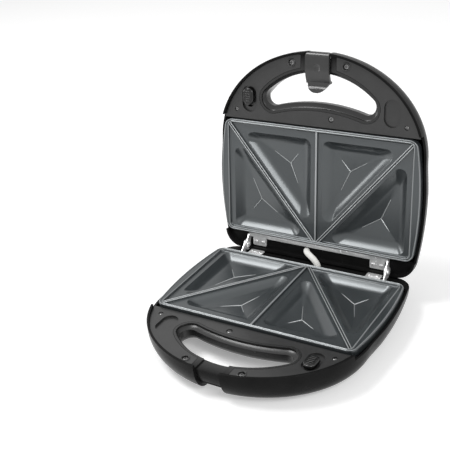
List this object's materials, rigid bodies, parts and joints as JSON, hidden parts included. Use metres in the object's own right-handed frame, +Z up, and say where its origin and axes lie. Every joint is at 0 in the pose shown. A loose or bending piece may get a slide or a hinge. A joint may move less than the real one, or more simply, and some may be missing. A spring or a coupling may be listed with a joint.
{
  "type": "sandwich toaster",
  "caption": "Sandwich toaster with a hinged lid, non-stick plates with triangular pockets, an arched handle with a latch, plate release sliders and a metal trim panel.",
  "frame": {"origin": "centre of the open toaster's footprint, on the table under its feet", "axes": "+Y from the handle to the hinge, +Z up, +X to the right seen from the handle"},
  "size_m": [0.2418, 0.2863, 0.2576],
  "materials": {
    "cover_plastic": "satin moulded",
    "panel_plastic": "fine grain, satin",
    "slider_plastic": "glossy moulded",
    "latch_plastic": "satin moulded",
    "coated_plate": "cast, with a smooth non-stick coating",
    "element_steel": "heat-tinted tube",
    "sheet_metal": "plain sheet",
    "hinge_steel": "zinc plated",
    "screw_steel": "zinc plated",
    "panel_screw_steel": "black zinc plated",
    "spring_steel": "bright wire",
    "trim_steel": "fine brushed",
    "foot_rubber": "matte",
    "gland_rubber": "matte",
    "ceramic": "glazed ceramic",
    "fuse_body": "plain",
    "wire_insulation": "smooth",
    "glass_fibre_sleeve": "braided",
    "green_lens": "translucent",
    "red_lens": "translucent",
    "lamp_glass": "clear"
  },
  "bodies": {
    "base": {"base_cover": "cover_plastic", "base_panel": "panel_plastic", "base_plate": "coated_plate", "base_element": "element_steel", "base_reflector": "sheet_metal", "base_reflector_screws": "screw_steel", "base_hinge_bar": "hinge_steel", "base_hinge_screws": "screw_steel", "base_panel_screws": "panel_screw_steel", "hinge_rivets": "hinge_steel", "feet": "foot_rubber", "cord_gland": "gland_rubber", "terminal_block": "ceramic", "thermostat": "ceramic", "thermal_fuse": "fuse_body", "base_wiring": "wire_insulation", "wire_sleeve": "glass_fibre_sleeve", "base_slider_spring": "spring_steel"},
    "base_slider": {"base_slider": "slider_plastic"},
    "lid": {"lid_cover": "cover_plastic", "lid_panel": "panel_plastic", "lid_plate": "coated_plate", "lid_element": "element_steel", "lid_reflector": "sheet_metal", "lid_reflector_screws": "screw_steel", "lid_hinge_bar": "hinge_steel", "lid_hinge_screws": "screw_steel", "lid_panel_screws": "panel_screw_steel", "trim_panel": "trim_steel", "green_lens": "green_lens", "red_lens": "red_lens", "indicator_lamps": "lamp_glass", "lamp_holder": "ceramic", "lid_wiring": "wire_insulation", "lid_slider_spring": "spring_steel", "latch_pin": "screw_steel"},
    "lid_slider": {"lid_slider": "slider_plastic"},
    "latch": {"latch": "latch_plastic"}
  },
  "joints": [
    {"name": "lid_hinge", "type": "hinge", "parent": "base", "child": "lid", "pos_m": [0, 0.0807, 0.0365], "axis": [1, 0, 0], "range_deg": [0, 98.5], "deforming": ["wire_sleeve"]},
    {"name": "latch_pivot", "type": "hinge", "parent": "lid", "child": "latch", "pos_m": [0, 0.118, 0.25226], "axis": [-1, 0, 0], "range_deg": [0, 90]},
    {"name": "base_slider_slide", "type": "slide", "parent": "base", "child": "base_slider", "axis": [0, 1, 0], "range_m": [0, 0.005], "stiffness_N_per_m": 300, "deforming": ["base_slider_spring"]},
    {"name": "lid_slider_slide", "type": "slide", "parent": "lid", "child": "lid_slider", "axis": [0, -0.1478, -0.989], "range_m": [0, 0.005], "stiffness_N_per_m": 300, "deforming": ["lid_slider_spring"]}
  ]
}
